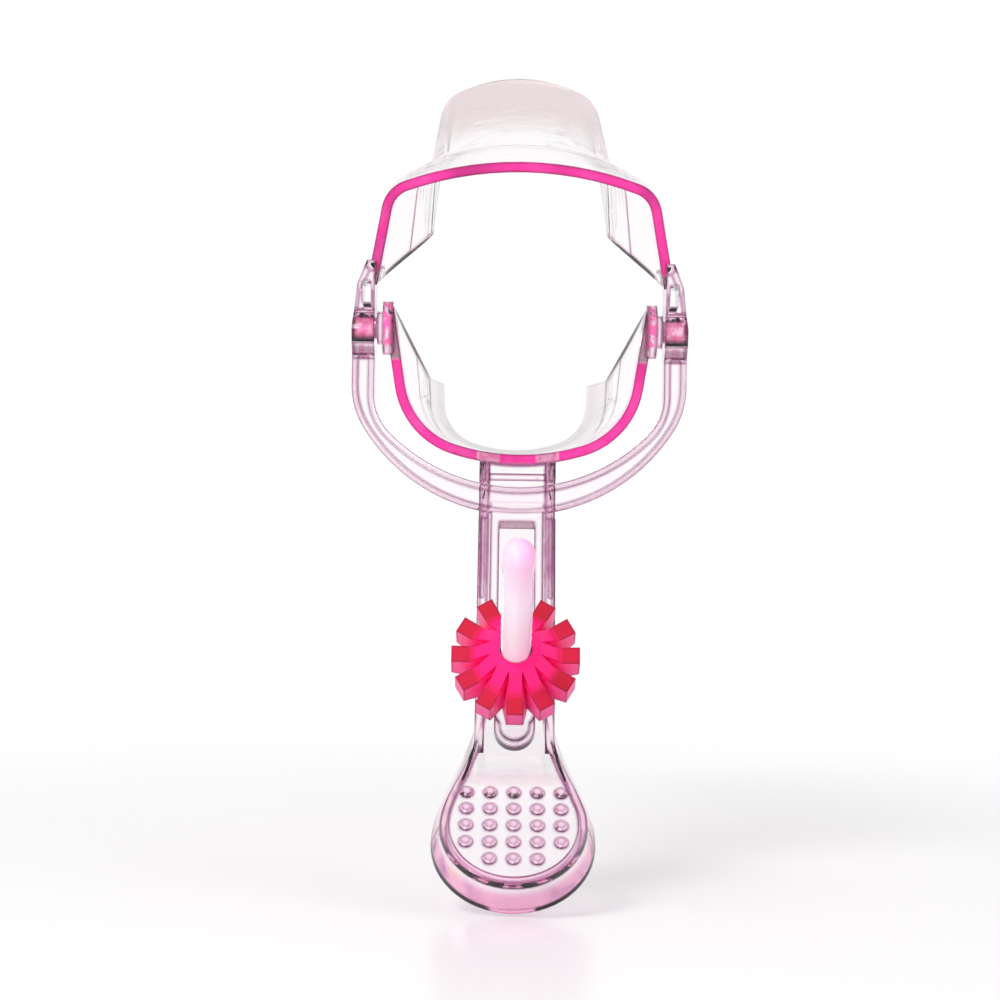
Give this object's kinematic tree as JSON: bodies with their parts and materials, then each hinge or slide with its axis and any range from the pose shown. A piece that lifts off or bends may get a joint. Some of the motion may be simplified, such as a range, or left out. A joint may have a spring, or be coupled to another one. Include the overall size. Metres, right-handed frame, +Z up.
{
  "type": "bivalve speculum",
  "caption": "Clear plastic bivalve speculum with hinged blades, slotted lever, channel handle with thumb pad, and a screw with a star nut that sets the opening.",
  "frame": {"origin": "middle of the hinge axis between the two ears, which is the middle of the sight opening", "axes": "+X across the instrument along the hinge axis, +Y from the user towards the blade tips along the lower blade, +Z up, from the lower valve to the upper valve"},
  "size_m": [0.0622, 0.1788, 0.1665],
  "materials": {
    "clear_lower": "polished clear moulding with pink edges",
    "clear_upper": "polished clear moulding with pink edges",
    "milky_plastic": "milky white, satin",
    "crimson_plastic": "translucent crimson, satin"
  },
  "bodies": {
    "lower": {"lower_valve": "clear_lower"},
    "upper": {"upper_valve": "clear_upper"},
    "screw": {"screw_rod": "milky_plastic"},
    "nut": {"star_nut": "crimson_plastic"}
  },
  "joints": [
    {"name": "blade_hinge", "type": "hinge", "parent": "lower", "child": "upper", "pos_m": [0, 0, 0], "axis": [1, 0, 0], "range_deg": [-30, 0]},
    {"name": "screw_swing", "type": "hinge", "parent": "lower", "child": "screw", "pos_m": [0, -0.01327, -0.0644], "axis": [1, 0, 0], "range_deg": [-30, 0]},
    {"name": "nut_travel", "type": "slide", "parent": "screw", "child": "nut", "axis": [0, -0.8988, 0.4384], "range_m": [0, 0.032]}
  ],
  "couplings": [
    {"joint": "screw_swing", "follows": "blade_hinge", "ratio": 1},
    {"joint": "nut_travel", "follows": "blade_hinge", "m_per_rad": -0.061}
  ]
}
